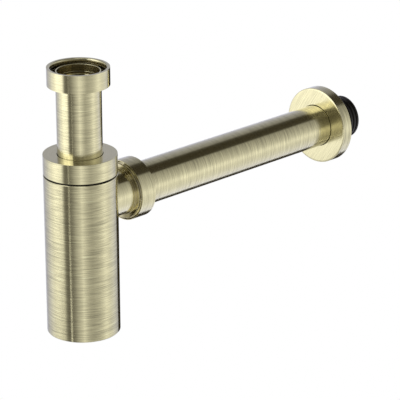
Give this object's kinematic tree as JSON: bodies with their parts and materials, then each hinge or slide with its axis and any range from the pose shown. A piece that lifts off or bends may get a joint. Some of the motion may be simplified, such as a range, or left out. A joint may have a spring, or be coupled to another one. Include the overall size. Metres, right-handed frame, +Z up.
{
  "type": "bottle trap",
  "caption": "Round bottle trap for a basin: inlet nut on an upright tube, bottle with screwed cap, union, horizontal outlet tube, wall flange and ribbed connector.",
  "frame": {"origin": "centre of the inlet nut's mouth, where the basin waste screws in", "axes": "+Z up along the inlet tube, +X along the outlet tube towards the wall"},
  "size_m": [0.3015, 0.0588, 0.1968],
  "materials": {
    "brushed_brass": "brushed",
    "black_rubber": "matt",
    "white_nylon": "matt"
  },
  "bodies": {
    "inlet_nut": {"inlet_nut": "brushed_brass"},
    "inlet_packing": {"inlet_slip_ring": "white_nylon", "inlet_seal": "black_rubber"},
    "inlet_tube": {"inlet_tube": "brushed_brass"},
    "tube_packing": {"top_slip_ring": "white_nylon", "tube_seal": "black_rubber"},
    "bottle": {"bottle_shell": "brushed_brass", "neck_ring": "brushed_brass", "bottle_base": "brushed_brass", "outlet_neck": "brushed_brass", "union_ring": "brushed_brass"},
    "cap_gasket": {"cap_gasket": "black_rubber"},
    "top_cap": {"top_cap": "brushed_brass"},
    "union_slip_ring": {"union_slip_ring": "white_nylon"},
    "union_nut": {"union_nut": "brushed_brass"},
    "union_seal": {"union_seal": "black_rubber"},
    "outlet_tube": {"outlet_tube": "brushed_brass"},
    "flange_grip_ring": {"flange_grip_ring": "black_rubber"},
    "wall_flange": {"wall_flange": "brushed_brass"},
    "wall_connector": {"wall_connector": "black_rubber"}
  },
  "joints": [
    {"name": "inlet_nut_turn", "type": "hinge", "parent": "inlet_nut", "child": "inlet_packing", "pos_m": [0, 0, -0.01285], "axis": [0, 0, 1], "continuous": true},
    {"name": "inlet_tube_slide", "type": "slide", "parent": "inlet_packing", "child": "inlet_tube", "axis": [0, 0, 1], "range_m": [0, 0.028]},
    {"name": "bottle_height", "type": "slide", "parent": "inlet_tube", "child": "tube_packing", "axis": [0, 0, 1], "range_m": [-0.05, 0.012]},
    {"name": "bottle_swivel", "type": "hinge", "parent": "tube_packing", "child": "bottle", "pos_m": [0, 0, -0.069], "axis": [0, 0, 1], "continuous": true},
    {"name": "cap_rise", "type": "slide", "parent": "bottle", "child": "cap_gasket", "axis": [0, 0, 1], "range_m": [0, 0.00878]},
    {"name": "cap_turn", "type": "hinge", "parent": "cap_gasket", "child": "top_cap", "pos_m": [0, 0, -0.0777], "axis": [0, 0, 1], "range_deg": [0, 1368]},
    {"name": "union_nut_travel", "type": "slide", "parent": "bottle", "child": "union_slip_ring", "axis": [1, 0, 0], "range_m": [0, 0.00763]},
    {"name": "union_nut_turn", "type": "hinge", "parent": "union_slip_ring", "child": "union_nut", "pos_m": [0.03855, 0, -0.10095], "axis": [1, 0, 0], "range_deg": [0, 1188]},
    {"name": "outlet_tube_turn", "type": "hinge", "parent": "bottle", "child": "union_seal", "pos_m": [0.03855, 0, -0.10095], "axis": [1, 0, 0], "continuous": true},
    {"name": "outlet_tube_slide", "type": "slide", "parent": "union_seal", "child": "outlet_tube", "axis": [1, 0, 0], "range_m": [0, 0.005]},
    {"name": "flange_slide", "type": "slide", "parent": "outlet_tube", "child": "flange_grip_ring", "axis": [1, 0, 0], "range_m": [-0.185, 0]},
    {"name": "flange_turn", "type": "hinge", "parent": "flange_grip_ring", "child": "wall_flange", "pos_m": [0.24245, 0, -0.10095], "axis": [1, 0, 0], "continuous": true},
    {"name": "connector_pull", "type": "slide", "parent": "outlet_tube", "child": "wall_connector", "axis": [1, 0, 0], "range_m": [0, 0.014]}
  ],
  "couplings": [
    {"joint": "cap_rise", "follows": "cap_turn", "m_per_rad": 0.00036749},
    {"joint": "union_nut_travel", "follows": "union_nut_turn", "m_per_rad": 0.00036749}
  ]
}
